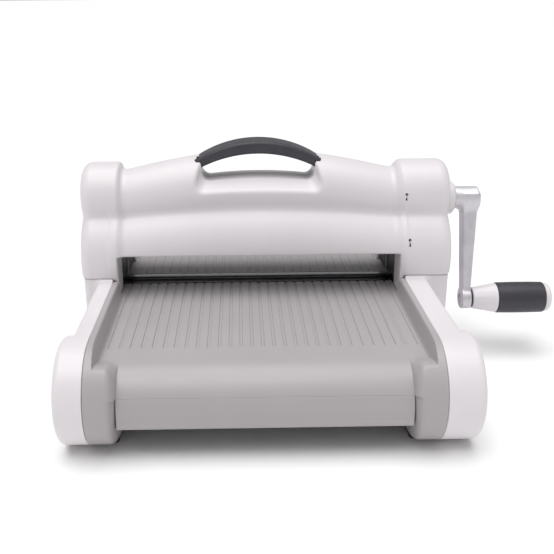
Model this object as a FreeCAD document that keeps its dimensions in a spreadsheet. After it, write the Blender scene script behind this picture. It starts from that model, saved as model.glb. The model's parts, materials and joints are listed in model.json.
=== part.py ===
import FreeCAD, Part
import math
import os

import Sketcher
from FreeCAD import Placement, Rotation, Vector

# Manual die cutting machine: two rollers in a steel frame, turned by a crank through gears, between
# two grooved trays.  Millimetres, +Z up, +Y to the back, the crank on the +X side.
# Everything is drawn about the machine's own middle: X = 0 halfway between the frame plates, Y = 0 on
# the roller axes, Z = 0 on the table.  origin_x then moves the whole to the middle of its width.

os.makedirs("parts", exist_ok=True)
doc = FreeCAD.newDocument("die_cutting_machine")

DIMENSIONS = {
    "origin_x": 52.25,
    "wall": 3.0,
    "gap": 0.3,
    "floor_gap": 0.5,
    # steel frame
    "plate_inner": 119.0,
    "plate_thick": 3.0,
    "plate_bottom": 15.0,
    "plate_top": 156.0,
    "plate_neck": 20.0,
    "plate_foot": 38.0,
    "gear_plate_x": 150.0,
    "rod_radius": 4.0,
    "upper_rod_y": 15.0,
    "upper_rod_z": 144.0,
    "lower_rod_y": 33.0,
    "lower_rod_z": 24.0,
    # rollers
    "roller_radius": 16.0,
    "roller_end": 118.5,
    "journal_radius": 7.0,
    "lower_axis_z": 49.5,
    "roller_pitch": 52.0,
    "bush_radius": 10.0,
    "flange_radius": 13.0,
    "bush_length": 6.0,
    "running_gap": 0.05,
    # gears
    "gear_module": 2.0,
    "roller_teeth": 26,
    "drive_teeth": 22,
    "pinion_teeth": 11,
    "roller_gear_x": 127.0,
    "drive_gear_x": 139.0,
    "gear_width": 10.0,
    # trays
    "deck_z": 62.5,
    "deck_thick": 3.0,
    "deck_start": 11.9,
    "deck_half_inside": 116.9,
    "tray_half": 121.4,
    "tower_front": 46.0,
    "rail_top": 77.0,
    "rail_flat": 117.0,
    "rail_foot": 114.3,
    "drum_y": 154.6,
    "drum_z": 38.6,
    "drum_radius": 38.1,
    "collar_inner": 101.0,
    "nose_y": 156.0,
    "nose_z": 32.5,
    "nose_radius": 30.0,
    "nose_seam_z": 46.5,
    "nose_bottom": 24.0,
    "groove_count": 29,
    "groove_pitch": 7.92,
    "groove_width": 2.2,
    "groove_depth": 0.8,
    "groove_end": 139.5,
    # side covers
    "cover_inner": 121.7,
    "left_flank": 134.5,
    "right_flank": 140.0,
    "left_drum": 142.5,
    "right_drum": 148.5,
    "left_foot": 147.0,
    "right_foot": 159.5,
    "foot_half": 43.3,
    "seam_z": 79.0,
    # tower
    "opening_half": 117.3,
    "opening_top": 97.0,
    "bridge_front": 41.0,
    "collar_edge": 116.0,
    "left_column": 148.5,
    "right_column": 161.0,
    "lower_lobe_z": 90.3,
    "lower_lobe_radius": 44.75,
    "upper_lobe_z": 140.5,
    "upper_lobe_radius": 28.0,
    "column_rim": 9.0,
    # handle
    "grip_half": 52.5,
    "grip_foot_half": 47.8,
    "grip_top": 187.2,
    "grip_rise": 15.9,
    "grip_under": 176.8,
    "grip_drop": 11.4,
    "grip_depth": 13.0,
    "gap_floor": 157.2,
    "gap_half": 47.5,
    # crank
    "crank_radius": 88.0,
    "crank_tilt": 15.0,
    "shaft_radius": 6.0,
    "stub_radius": 4.0,
    "hub_radius": 9.5,
    "hub_start": 169.3,
    "hub_end": 190.0,
    "boss_radius": 9.1,
    "boss_end": 184.0,
    "knob_start": 185.6,
    "cone_end": 206.4,
    "grip_end": 247.6,
    "knob_end": 253.0,
    "knob_radius": 13.5,
}

sheet = doc.addObject("Spreadsheet::Sheet", "dim")
for row, (alias, number) in enumerate(DIMENSIONS.items(), start=1):
    sheet.set(f"A{row}", alias)
    sheet.set(f"B{row}", str(number))
    sheet.setAlias(f"B{row}", alias)
doc.recompute()


def size(expression):
    """Number that an expression of the sheet gives."""
    return float(sheet.evalExpression(expression))


def dim(alias):
    """Number in the cell with this alias."""
    return float(sheet.get(alias))


ALONG_X = Rotation(Vector(0, 1, 0), 90)
UPPER_AXIS = "(dim.lower_axis_z + dim.roller_pitch)"
DRIVE_DISTANCE = "dim.gear_module * (dim.drive_teeth + dim.pinion_teeth) / 2"
CRANK_AXIS = f"({UPPER_AXIS} + {DRIVE_DISTANCE})"
PLATE_OUTER = "(dim.plate_inner + dim.plate_thick)"
SIDES = {"left": -1, "right": 1}
ENDS = {"front": -1, "rear": 1}

subparts = []


def keep(feature, label):
    """Make a feature a sub-part: give it its label and move it to the row's origin."""
    feature.Label = label
    feature.setExpression("Placement.Base.x", "-dim.origin_x")
    subparts.append(feature)
    return feature


def keep_shape(shape, label):
    """Sub-part whose shape is worked out by Part's own functions from the sheet's sizes."""
    feature = doc.addObject("Part::Feature", label)
    feature.Shape = shape
    shift = Placement(Vector(-dim("origin_x"), 0, 0), Rotation())
    feature.Placement = shift.multiply(shape.Placement)
    feature.Label = label
    subparts.append(feature)
    return feature


# ---- primitives bound to the sheet ------------------------------------------------------------


def x_cylinder(name, radius, start, end, y="0", z="0"):
    """Cylinder along X from start to end; every size is an expression."""
    solid = doc.addObject("Part::Cylinder", name)
    solid.Placement = Placement(Vector(0, 0, 0), ALONG_X)
    solid.setExpression("Radius", radius)
    solid.setExpression("Height", f"({end}) - ({start})")
    solid.setExpression("Placement.Base.x", start)
    solid.setExpression("Placement.Base.y", y)
    solid.setExpression("Placement.Base.z", z)
    return solid


def fuse(name, solids):
    if len(solids) == 1:
        return solids[0]
    feature = doc.addObject("Part::MultiFuse", name)
    feature.Shapes = solids
    return feature


def cut(name, base, tool):
    feature = doc.addObject("Part::Cut", name)
    feature.Base = base
    feature.Tool = tool
    return feature


def turned(name, steps, y="0", z="0"):
    """Stepped round piece along X: steps are (radius, start, end) expressions."""
    solids = []
    for number, (radius, start, end) in enumerate(steps):
        solids.append(x_cylinder(f"{name}_step{number}", radius, start, end, y, z))
    return fuse(f"{name}_solid", solids)


def ring(name, steps, bore, start, end, y="0", z="0"):
    """Stepped round piece along X with one bore right through."""
    body = turned(name, steps, y, z)
    hole = x_cylinder(f"{name}_bore", bore, f"({start}) - 1", f"({end}) + 1", y, z)
    return cut(f"{name}_ring", body, hole)


# ---- plates: sketch and pad -------------------------------------------------------------------


def plane_of(body, role):
    for feature in body.Origin.OriginFeatures:
        if feature.Role == role:
            return feature
    raise ValueError(role)


def bind(sketch, kind, geometry, point, expression):
    """Hold one coordinate of a sketch point at an expression's value."""
    constraint = Sketcher.Constraint(kind, -1, 1, geometry, point, size(expression))
    index = sketch.addConstraint(constraint)
    sketch.setExpression(f"Constraints[{index}]", expression)


def outline(sketch, corners):
    """Closed polygon through corners given as pairs of expressions."""
    points = [Vector(size(u), size(v), 0) for u, v in corners]
    count = len(points)
    for number in range(count):
        sketch.addGeometry(Part.LineSegment(points[number], points[(number + 1) % count]), False)
    for number, (u, v) in enumerate(corners):
        sketch.addConstraint(Sketcher.Constraint("Coincident", number, 2, (number + 1) % count, 1))
        bind(sketch, "DistanceX", number, 1, u)
        bind(sketch, "DistanceY", number, 1, v)


def circle(sketch, radius, u, v):
    centre = Vector(size(u), size(v), 0)
    index = sketch.addGeometry(Part.Circle(centre, Vector(0, 0, 1), size(radius)), False)
    bind(sketch, "DistanceX", index, 3, u)
    bind(sketch, "DistanceY", index, 3, v)
    held = sketch.addConstraint(Sketcher.Constraint("Radius", index, size(radius)))
    sketch.setExpression(f"Constraints[{held}]", radius)


def plate(label, role, offset, thickness, corners, holes=()):
    """Flat plate padded from a sketch on one of its body's own planes."""
    body = doc.addObject("PartDesign::Body", label)
    sketch = body.newObject("Sketcher::SketchObject", f"{label}_outline")
    sketch.AttachmentSupport = [(plane_of(body, role), "")]
    sketch.MapMode = "FlatFace"
    sketch.setExpression("AttachmentOffset.Base.z", offset)
    outline(sketch, corners)
    for hole in holes:
        circle(sketch, *hole)
    doc.recompute()
    pad = body.newObject("PartDesign::Pad", f"{label}_pad")
    pad.Profile = sketch
    pad.setExpression("Length", thickness)
    return keep(body, label)


def mirrored(half):
    """Corners on the positive side, then the same ones in reverse on the negative side."""
    return half + [(f"-({u})", v) for u, v in reversed(half)]


FRAME_OUTLINE = mirrored([
    ("dim.plate_foot", "dim.plate_bottom"),
    ("dim.plate_foot", "50"),
    ("dim.plate_neck", "61"),
    ("dim.plate_neck", "dim.plate_top - 6"),
    ("14", "dim.plate_top"),
])

ROD_PLACES = {
    "upper_front": ("-dim.upper_rod_y", "dim.upper_rod_z"),
    "upper_rear": ("dim.upper_rod_y", "dim.upper_rod_z"),
    "lower_front": ("-dim.lower_rod_y", "dim.lower_rod_z"),
    "lower_rear": ("dim.lower_rod_y", "dim.lower_rod_z"),
}
SCREW_RADIUS = "2.5"
SCREW_HOLES = [(SCREW_RADIUS, y, z) for y, z in ROD_PLACES.values()]
ROLLER_HOLES = [("dim.bush_radius", "0", "dim.lower_axis_z"), ("dim.bush_radius", "0", UPPER_AXIS)]
CRANK_BUSH = "9"
STUB_BUSH = "7"

plate("left_side_plate", "YZ_Plane", f"-{PLATE_OUTER}", "dim.plate_thick", FRAME_OUTLINE,
      ROLLER_HOLES + SCREW_HOLES)
plate("right_side_plate", "YZ_Plane", "dim.plate_inner", "dim.plate_thick", FRAME_OUTLINE,
      ROLLER_HOLES + SCREW_HOLES + [(STUB_BUSH, "0", CRANK_AXIS)])
plate("gear_plate", "YZ_Plane", "dim.gear_plate_x", "dim.plate_thick", FRAME_OUTLINE,
      ROLLER_HOLES[1:] + SCREW_HOLES + [(CRANK_BUSH, "0", CRANK_AXIS)])

BASE_OUTLINE = mirrored([
    ("117.8", "-122"),
    ("117.8", "-42"),
    ("123", "-42"),
    ("123", "42"),
    ("117.8", "42"),
    ("117.8", "122"),
])
BOSS_PLACES = [(x, y) for x in (-94, 94) for y in (-112, -60, 60, 112)]
plate("base_plate", "XY_Plane", "dim.plate_bottom - dim.plate_thick", "dim.plate_thick",
      BASE_OUTLINE, [(SCREW_RADIUS, str(x), str(y)) for x, y in BOSS_PLACES])

# ---- frame: tie rods, spacers, screws, bushes --------------------------------------------------


def screw(name, head_x, way, length, y, z, head_radius="4.5"):
    """Pan head screw along X: its head starts at head_x and its shank runs the way given."""
    head_end = f"({head_x}) - ({way}) * 3"
    tip = f"({head_x}) + ({way}) * ({length})"
    head = (head_x, head_end) if way < 0 else (head_end, head_x)
    shank = (tip, head_x) if way < 0 else (head_x, tip)
    steps = [(head_radius, *head), (SCREW_RADIUS, *shank)]
    return turned(name, steps, y, z)


for place, (y, z) in ROD_PLACES.items():
    rod = x_cylinder(f"rod_{place}", "dim.rod_radius", "-dim.plate_inner", "dim.plate_inner", y, z)
    ends = [x_cylinder(f"rod_{place}_tap{number}", SCREW_RADIUS, start, end, y, z)
            for number, (start, end) in enumerate([("-dim.plate_inner - 1", "-dim.plate_inner + 12"),
                                                   ("dim.plate_inner - 12", "dim.plate_inner + 1")])]
    keep(cut(f"rod_{place}_cut", rod, fuse(f"rod_{place}_taps", ends)), f"tie_rod_{place}")

spacers = []
left_screws = []
gear_screws = []
for place, (y, z) in ROD_PLACES.items():
    spacers.append(ring(f"spacer_{place}", [("dim.rod_radius", PLATE_OUTER, "dim.gear_plate_x")],
                        SCREW_RADIUS, PLATE_OUTER, "dim.gear_plate_x", y, z))
    left_screws.append(screw(f"left_screw_{place}", f"-{PLATE_OUTER}", 1, "14", y, z))
    gear_screws.append(screw(f"gear_screw_{place}", "dim.gear_plate_x + dim.plate_thick", -1, "46",
                             y, z))


def group(solids, label):
    """Separate identical pieces that share one node."""
    feature = doc.addObject("Part::Compound", label)
    feature.Links = solids
    return keep(feature, label)


group(spacers, "gear_plate_spacers")
group(left_screws, "left_frame_screws")
group(gear_screws, "gear_plate_screws")

ROLLER_AXES = {"lower": "dim.lower_axis_z", "upper": UPPER_AXIS}
JOURNAL_BORE = "dim.journal_radius + dim.running_gap"


def flanged_bush(label, bore, barrel, flange, face, start, end, z):
    """Bush from start to end with its flange against the plate's outer face."""
    flange_span = (start, face) if size(start) < 0 else (face, end)
    keep(ring(label, [(barrel, start, end), (flange, *flange_span)], bore, start, end, "0", z), label)


for row, axis in ROLLER_AXES.items():
    flanged_bush(f"{row}_roller_bush_left", JOURNAL_BORE, "dim.bush_radius", "dim.flange_radius",
                 f"-{PLATE_OUTER}", "-dim.plate_inner - dim.bush_length", "-dim.plate_inner", axis)
    flanged_bush(f"{row}_roller_bush_right", JOURNAL_BORE, "dim.bush_radius", "dim.flange_radius",
                 PLATE_OUTER, "dim.plate_inner", "dim.plate_inner + dim.bush_length", axis)
GEAR_PLATE_OUTER = "dim.gear_plate_x + dim.plate_thick"
flanged_bush("upper_roller_bush_outer", JOURNAL_BORE, "dim.bush_radius", "dim.flange_radius",
             GEAR_PLATE_OUTER, "dim.gear_plate_x", "dim.gear_plate_x + dim.bush_length", UPPER_AXIS)
flanged_bush("crank_bush_outer", "dim.shaft_radius + dim.running_gap", CRANK_BUSH, "11.5",
             GEAR_PLATE_OUTER, "dim.gear_plate_x", "dim.gear_plate_x + dim.bush_length", CRANK_AXIS)
flanged_bush("crank_bush_inner", "dim.stub_radius + dim.running_gap", STUB_BUSH, "7",
             PLATE_OUTER, "dim.plate_inner", f"{PLATE_OUTER} + 1", CRANK_AXIS)

# ---- rollers and gears -------------------------------------------------------------------------

ROLLER_RIGHT_END = {"lower": "142", "upper": "dim.gear_plate_x + dim.bush_length - 1"}
for row, axis in ROLLER_AXES.items():
    steps = [
        ("dim.roller_radius", "-dim.roller_end", "dim.roller_end"),
        ("dim.journal_radius", "-129", ROLLER_RIGHT_END[row]),
    ]
    keep(turned(f"{row}_roller", steps, "0", axis), f"{row}_roller")
    keep(ring(f"{row}_clip", [("9.5", "-127.3", "-126")], "dim.journal_radius", "-127.3", "-126",
              "0", axis), f"{row}_roller_clip")

PRESSURE_ANGLE = math.radians(25)
ADDENDUM = 0.95
DEDENDUM = 1.25
BACKLASH = 0.24


def gear_outline(teeth, module, z, tooth_angle):
    """Involute gear in the plane X = 0, one tooth at tooth_angle from +Z towards +Y."""
    pitch = module * teeth / 2
    base = pitch * math.cos(PRESSURE_ANGLE)
    tip = pitch + ADDENDUM * module
    root = pitch - DEDENDUM * module
    half_tooth = math.pi / (2 * teeth) - BACKLASH / (2 * pitch)
    widest = half_tooth + math.tan(PRESSURE_ANGLE) - PRESSURE_ANGLE
    flank = []
    start = max(base, root)
    for step in range(6):
        radius = start + (tip - start) * step / 5
        roll = math.acos(min(1.0, base / radius))
        flank.append((radius, widest - (math.tan(roll) - roll)))
    rising = [(root, flank[0][1])] + flank
    corners = []
    for tooth in range(teeth):
        middle = tooth_angle + 2 * math.pi * tooth / teeth
        tooth_side = [(radius, middle - angle) for radius, angle in rising]
        other_side = [(radius, middle + angle) for radius, angle in reversed(rising)]
        for radius, angle in tooth_side + other_side:
            corners.append(Vector(0, radius * math.sin(angle), z + radius * math.cos(angle)))
    return Part.Face(Part.makePolygon(corners + corners[:1]))


def gear(label, teeth, bore, x, z, tooth_angle):
    face = gear_outline(int(dim(teeth)), dim("gear_module"), z, tooth_angle)
    blank = face.extrude(Vector(dim("gear_width"), 0, 0))
    hole = Part.makeCylinder(bore, dim("gear_width") + 2, Vector(-1, 0, z), Vector(1, 0, 0))
    toothed = blank.cut(hole)
    toothed.translate(Vector(x, 0, 0))
    keep_shape(toothed, label)


upper_z = size(UPPER_AXIS)
lower_z = dim("lower_axis_z")
crank_z = size(CRANK_AXIS)
half_step = math.pi / dim("roller_teeth")
gear("lower_roller_gear", "roller_teeth", dim("journal_radius"), dim("roller_gear_x"), lower_z, 0)
gear("upper_roller_gear", "roller_teeth", dim("journal_radius"), dim("roller_gear_x"), upper_z,
     math.pi + half_step)
gear("drive_gear", "drive_teeth", dim("journal_radius"), dim("drive_gear_x"), upper_z, 0)
gear("crank_pinion", "pinion_teeth", dim("shaft_radius"), dim("drive_gear_x"), crank_z,
     math.pi + math.pi / dim("pinion_teeth"))

# ---- round and boxy solids for the mouldings ---------------------------------------------------


def box(x, y, z):
    """Box between two values on each axis."""
    lows = [min(span) for span in (x, y, z)]
    sides = [abs(span[1] - span[0]) for span in (x, y, z)]
    return Part.makeBox(*sides, Vector(*lows))


def disc(radius, near, far, y, z, near_rim=0.0, far_rim=0.0):
    """Disc along X whose rims are rounded; far may lie on either side of near."""
    way = 1 if far > near else -1

    def point(x, r):
        return Vector(x, y, z + r)

    lean = 1 - math.sqrt(0.5)
    edges = []
    start = point(near, 0)
    side = point(near, radius - near_rim)
    edges.append(Part.makeLine(start, side))
    if near_rim:
        rim = point(near + way * near_rim, radius)
        middle = point(near + way * near_rim * lean, radius - near_rim * lean)
        edges.append(Part.Arc(side, middle, rim).toShape())
        side = rim
    rim = point(far - way * far_rim, radius)
    edges.append(Part.makeLine(side, rim))
    if far_rim:
        side = point(far, radius - far_rim)
        middle = point(far - way * far_rim * lean, radius - far_rim * lean)
        edges.append(Part.Arc(rim, middle, side).toShape())
        rim = side
    end = point(far, 0)
    edges.append(Part.makeLine(rim, end))
    edges.append(Part.makeLine(end, start))
    face = Part.Face(Part.Wire(edges))
    return face.revolve(Vector(0, y, z), Vector(1, 0, 0), 360)


def prism(corners, start, along):
    """Polygon of 3-D corners pushed along a vector."""
    points = [Vector(*corner) + start for corner in corners]
    return Part.Face(Part.makePolygon(points + points[:1])).extrude(along)


def join(solids):
    result = solids[0]
    for solid in solids[1:]:
        result = result.fuse(solid)
    return result.removeSplitter()


def x_bar(radius, x, y, z):
    return Part.makeCylinder(radius, x[1] - x[0], Vector(x[0], y, z), Vector(1, 0, 0))


def turn_to_rear(shape):
    """The rear piece is the front one turned half round the vertical axis."""
    turned_shape = shape.copy()
    turned_shape.rotate(Vector(0, 0, 0), Vector(0, 0, 1), 180)
    return turned_shape


BIG = 400.0
wall = dim("wall")
floor_gap = dim("floor_gap")
deck_z = dim("deck_z")
drum_y = dim("drum_y")
drum_z = dim("drum_z")
drum_radius = dim("drum_radius")

# ---- trays -------------------------------------------------------------------------------------


def tray_section(inset):
    """Cross-section of the tray looking along Y: flat deck between two raised rails."""
    half = dim("tray_half") - inset
    top = dim("rail_top") - inset
    slope = (dim("rail_flat") - dim("rail_foot")) / (dim("rail_top") - deck_z)
    foot = dim("rail_foot") + inset * 0.6
    flat = min(foot + slope * (top - deck_z + inset), half - 1)
    right = [(half, floor_gap - inset), (half, top), (flat, top), (foot, deck_z - inset)]
    left = [(-x, z) for x, z in reversed(right)]
    return [(x, 0, z) for x, z in right + left]


def nose_solid(inset, x, bottom):
    """Rounded nose between the collars."""
    radius = dim("nose_radius") - inset
    upright = box(x, (-dim("nose_y") - radius, 0), (bottom, dim("nose_z")))
    rounding = x_bar(radius, x, -dim("nose_y"), dim("nose_z"))
    rounding = rounding.cut(box(x, (-BIG, BIG), (-BIG, dim("nose_z"))))
    back = box(x, (-dim("nose_y"), 0), (bottom, dim("nose_z") + radius))
    return join([rounding, upright, back])


def tray_envelope(inset):
    """Outer or inner form of the front tray, ahead of the tower."""
    section = prism(tray_section(inset), Vector(0, -BIG, 0), Vector(0, BIG, 0))
    half = dim("tray_half")
    length = box((-half, half), (-drum_y, 0), (-10, dim("rail_top")))
    drum = disc(drum_radius - inset, -half, half, -drum_y, drum_z)
    form = section.common(length.fuse(drum))
    between = dim("collar_inner") + inset
    slot = box((-between, between), (-BIG, 0), (-20, BIG))
    nose = nose_solid(inset, (-between, between), -20)
    return form.cut(slot).fuse(form.common(slot).common(nose))


def front_tray():
    tray = tray_envelope(0)
    cavity = tray_envelope(wall)
    collar = dim("collar_inner")
    half = dim("tray_half")
    side_open = box((-half + wall, half - wall), (-drum_y + 25, 0), (-20, 40))
    bottoms = [box((s * collar, s * half), (-BIG, -drum_y + 22), (-20, 0)) for s in (-1, 1)]
    cavity = cavity.fuse(side_open)
    for bottom in bottoms:
        cavity = cavity.cut(bottom)
    tray = tray.cut(cavity)
    seam = box((-collar - 0.2, collar + 0.2), (-BIG, -dim("nose_y") + 4), (-20, dim("nose_seam_z")))
    tray = tray.cut(seam)
    # inner cheeks of the two collars, from the floor to the nose
    for side in (-1, 1):
        cheek = disc(drum_radius, side * collar, side * (collar + wall), -drum_y, drum_z)
        tray = tray.fuse(cheek.common(box((-half, half), (-BIG, 0), (floor_gap, deck_z - 0.5))))
    # only the deck goes on between the tower's walls
    tower = dim("tower_front")
    tray = tray.cut(box((-BIG, BIG), (-tower, 0), (-20, BIG)))
    inside = dim("deck_half_inside")
    tray = tray.fuse(box((-inside, inside), (-tower, -dim("deck_start")),
                         (deck_z - dim("deck_thick"), deck_z)))
    tray = tray.cut(x_bar(dim("roller_radius") + 0.7, (-BIG, BIG), 0, lower_z))
    # screw bosses that stand on the base plate
    for x, y in BOSS_PLACES:
        if y < 0:
            height = deck_z - 1 - dim("plate_bottom")
            tray = tray.fuse(Part.makeCylinder(4.5, height, Vector(x, y, dim("plate_bottom"))))
            tray = tray.cut(Part.makeCylinder(size(SCREW_RADIUS), 14,
                                              Vector(x, y, dim("plate_bottom") - 1)))
    # solid blocks that hold the rubber feet
    for side in (-1, 1):
        span = (side * (collar + 1), side * (half - 1))
        block = box(span, (-drum_y - 12, -drum_y + 12), (2.2, 8))
        tray = tray.fuse(block)
        tray = tray.cut(foot_pad(side, 4.0))
    return tray.cut(deck_grooves()).removeSplitter()


def foot_pad(side, height):
    """Rubber pad under one collar."""
    middle = side * (dim("collar_inner") + dim("tray_half")) / 2
    return box((middle - 7, middle + 7), (-drum_y - 9, -drum_y + 9), (0, height))


def deck_grooves():
    """Parallel shallow grooves with round ends, running to the roller."""
    count = int(dim("groove_count"))
    pitch = dim("groove_pitch")
    width = dim("groove_width")
    depth = dim("groove_depth")
    end = -dim("groove_end") + width / 2
    tools = []
    for number in range(count):
        x = (number - (count - 1) / 2) * pitch
        tools.append(box((x - width / 2, x + width / 2), (end, 0), (deck_z - depth, deck_z + 5)))
        tools.append(Part.makeCylinder(width / 2, depth + 5, Vector(x, end, deck_z - depth)))
    return Part.makeCompound(tools)


front = front_tray()
keep_shape(front, "front_tray")
keep_shape(turn_to_rear(front), "rear_tray")


def nose_cover():
    """Lower half of the nose, below the tray's seam."""
    collar = dim("collar_inner") - dim("gap")
    bottom = dim("nose_bottom")
    outer = nose_solid(0, (-collar, collar), bottom)
    inner = nose_solid(wall, (-collar - 1, collar + 1), bottom + wall)
    shell = outer.cut(inner)
    shelf = 14.0
    band = box((-BIG, BIG), (-BIG, -dim("nose_y") - shelf), (0, dim("nose_seam_z") - dim("gap")))
    return shell.common(band)


cover = nose_cover()
keep_shape(cover, "front_nose_cover")
keep_shape(turn_to_rear(cover), "rear_nose_cover")

for end, way in ENDS.items():
    for name, side in SIDES.items():
        pad_shape = foot_pad(side, 4.0)
        if way > 0:
            pad_shape = pad_shape.mirror(Vector(0, 0, 0), Vector(0, 1, 0))
        upright = [edge for edge in pad_shape.Edges if abs(edge.BoundBox.ZLength - 4.0) < 0.01]
        keep_shape(pad_shape.makeFillet(3.0, upright), f"{end}_{name}_foot")

base_screws = []
for x, y in BOSS_PLACES:
    top = dim("plate_bottom") - dim("plate_thick")
    head = Part.makeCylinder(4.5, 2.5, Vector(x, y, top - 2.5))
    base_screws.append(head.fuse(Part.makeCylinder(size(SCREW_RADIUS), 15, Vector(x, y, top - 0.5))))
keep_shape(Part.makeCompound([each.removeSplitter() for each in base_screws]), "base_screws")

# ---- side covers -------------------------------------------------------------------------------


def side_form(side, inset):
    """Flank, two end drums and the block below the column, drawn inset from the outside."""
    name = "left" if side < 0 else "right"
    inner = dim("cover_inner") if inset == 0 else dim("cover_inner") - 5
    flank = dim(f"{name}_flank") - inset
    drum = dim(f"{name}_drum") - inset
    foot = dim(f"{name}_foot") - inset
    top = drum_z + drum_radius - inset
    bottom = drum_z - drum_radius + inset
    rim = max(4.0 - inset, 1.0)
    slab = box((side * inner, side * flank), (-drum_y, drum_y), (bottom, top))
    long_edges = [edge for edge in slab.Edges
                  if edge.BoundBox.YLength > 2 * drum_y - 1
                  and abs(edge.CenterOfMass.x - side * flank) < 0.01]
    slab = slab.makeFillet(rim, long_edges)
    drums = [disc(drum_radius - inset, side * inner, side * drum, way * drum_y, drum_z,
                  far_rim=max(9.0 - inset, 2.0)) for way in (-1, 1)]
    half = dim("foot_half") - inset
    foot_top = dim("seam_z") if inset == 0 else dim("seam_z") + 5
    block = box((side * inner, side * foot), (-half, half), (bottom, foot_top))
    corners = [edge for edge in block.Edges
               if edge.BoundBox.ZLength > foot_top - bottom - 1
               and abs(edge.CenterOfMass.x - side * foot) < 0.01]
    block = block.makeFillet(max(8.0 - inset, 2.0), corners)
    return join([slab, *drums, block])


def side_cover(side):
    return side_form(side, 0).cut(side_form(side, wall))


for name, side in SIDES.items():
    keep_shape(side_cover(side), f"{name}_side_cover")

# ---- tower -------------------------------------------------------------------------------------

ARCH_HALF = 116.0
END_CREASE = (21.3, 126.5)
END_TOP = 161.0
CREASE_RISE = (2.7, 7.0)
TOP_RISE = 17.0


def bridge_section(x, inset, bottom):
    """Section of the bridge at x: two round lobes with a crease between them."""
    arch = math.cos(math.pi * x / (2 * ARCH_HALF))
    crease_y = END_CREASE[0] + CREASE_RISE[0] * arch
    crease_z = END_CREASE[1] + CREASE_RISE[1] * arch
    top = END_TOP + TOP_RISE * arch
    front_y = dim("bridge_front")
    front_z = dim("opening_top")
    low_z = (crease_z**2 - front_z**2 + crease_y**2 - front_y**2) / (2 * (crease_z - front_z))
    high_z = (top**2 - crease_z**2 - crease_y**2) / (2 * (top - crease_z))
    low_radius = math.hypot(front_y, front_z - low_z) - inset
    high_radius = top - high_z - inset
    meet_z = (low_radius**2 - high_radius**2 + high_z**2 - low_z**2) / (2 * (high_z - low_z))

    def low_point(z, way):
        return Vector(x, way * math.sqrt(low_radius**2 - (z - low_z) ** 2), z)

    middle = (bottom + meet_z) / 2
    edges = [Part.Arc(low_point(bottom, -1), low_point(middle, -1), low_point(meet_z, -1)),
             Part.Arc(low_point(meet_z, -1), Vector(x, 0, high_z + high_radius), low_point(meet_z, 1)),
             Part.Arc(low_point(meet_z, 1), low_point(middle, 1), low_point(bottom, 1)),
             Part.LineSegment(low_point(bottom, 1), low_point(bottom, -1))]
    return Part.Wire([edge.toShape() for edge in edges])


def bridge(inset, bottom, half):
    stations = [half * (number - 4) / 4 for number in range(9)]
    wires = [bridge_section(x, inset, bottom) for x in stations]
    return Part.makeLoft(wires, True, False)


def column(side, inset):
    """Column at one end of the bridge: a small disc-shaped lobe above a large one."""
    name = "left" if side < 0 else "right"
    near = side * (dim("collar_edge") + inset)
    far = side * (dim(f"{name}_column") - inset)
    rim = dim("column_rim") - inset
    lobes = [disc(dim(f"{lobe}_lobe_radius") - inset, near, far, 0, dim(f"{lobe}_lobe_z"),
                  near_rim=5.0 - inset, far_rim=rim) for lobe in ("lower", "upper")]
    return join(lobes)


def gap_outline(y, half, floor):
    """Opening under the handle at one depth; its floor is slightly crowned."""
    crown = 2.6
    left = Vector(-half, y, floor - crown)
    right = Vector(half, y, floor - crown)
    roof = 230.0
    edges = [Part.Arc(left, Vector(0, y, floor), right).toShape(),
             Part.makeLine(right, Vector(half, y, roof)),
             Part.makeLine(Vector(half, y, roof), Vector(-half, y, roof)),
             Part.makeLine(Vector(-half, y, roof), left)]
    return Part.Wire(edges)


def hand_gap(grow):
    """Through gap for the fingers, flared towards the front and the back."""
    half = dim("gap_half") + grow
    floor = dim("gap_floor") - grow
    throat = 16.0
    mouth = 32.0
    flare = 7.5
    sink = 9.5
    stations = [(-mouth, flare, sink), (-throat, 0, 0), (throat, 0, 0), (mouth, flare, sink)]
    wires = [gap_outline(y, half + wider, floor - lower) for y, wider, lower in stations]
    return Part.makeLoft(wires, True, True)


def arc_slab(half, top, drop, under_half, under, under_drop, depth):
    """Arched slab along X between an upper and a lower arc, centred on Y = 0."""
    left_top = Vector(-half, -depth, top - drop)
    right_top = Vector(half, -depth, top - drop)
    left_low = Vector(-under_half, -depth, under - under_drop)
    right_low = Vector(under_half, -depth, under - under_drop)
    edges = [Part.Arc(left_top, Vector(0, -depth, top), right_top).toShape(),
             Part.makeLine(right_top, right_low),
             Part.Arc(right_low, Vector(0, -depth, under), left_low).toShape(),
             Part.makeLine(left_low, left_top)]
    return Part.Face(Part.Wire(edges)).extrude(Vector(0, 2 * depth, 0))


CORE_DEPTH = 7.0


def handle_core():
    """Stiff bar inside the grip; its ends are held in the bridge."""
    return arc_slab(57.0, dim("grip_top") - 2.6, dim("grip_rise") + 2.5,
                    55.0, dim("grip_under") + 2.6, dim("grip_drop") + 4.6, CORE_DEPTH)


def grip_envelope():
    slab = arc_slab(dim("grip_half"), dim("grip_top"), dim("grip_rise"),
                    dim("grip_foot_half"), dim("grip_under"), dim("grip_drop"), dim("grip_depth"))
    long_edges = [edge for edge in slab.Edges if edge.BoundBox.XLength > 90]
    return slab.makeFillet(2.6, long_edges)


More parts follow.
